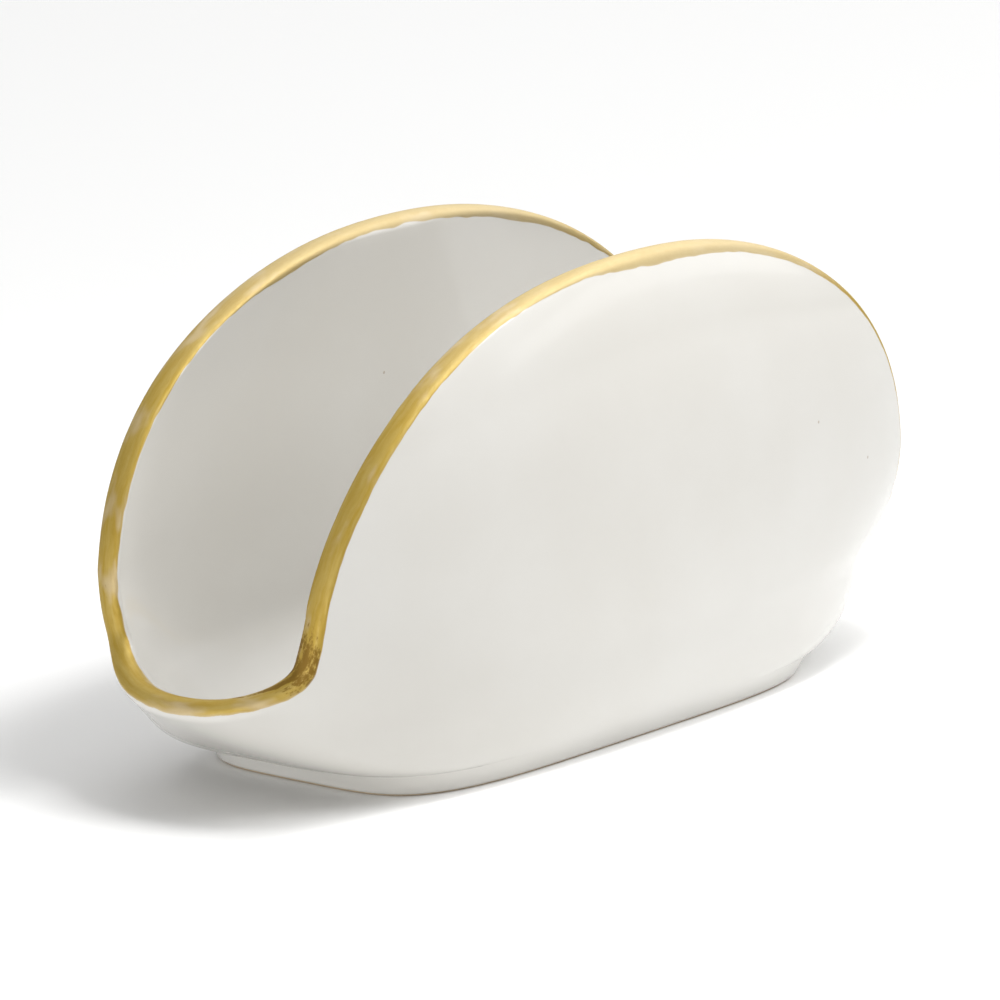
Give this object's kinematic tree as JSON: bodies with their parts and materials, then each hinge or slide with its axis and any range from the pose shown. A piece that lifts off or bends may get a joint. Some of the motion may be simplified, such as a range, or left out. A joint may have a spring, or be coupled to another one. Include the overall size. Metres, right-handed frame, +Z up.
{
  "type": "toast rack",
  "caption": "Pillow-shaped glazed ceramic rack: two arched walls over one curved trough open at the top and both ends, on a low oval foot, with a gilded lip.",
  "frame": {"origin": "centre of the foot's contact face, on the table", "axes": "+Z up, +X along the trough from one open end to the other, +Y across it from wall to wall"},
  "size_m": [0.1528, 0.0558, 0.0708],
  "materials": {
    "glaze": "glossy warm-white glaze",
    "gilt": "hand-brushed fired gold lustre over the glaze",
    "foot": "glazed sides, bare tan contact face"
  },
  "bodies": {
    "root": {"shell": "glaze", "gilt_rim": "gilt", "foot_ring": "foot"}
  },
  "joints": []
}
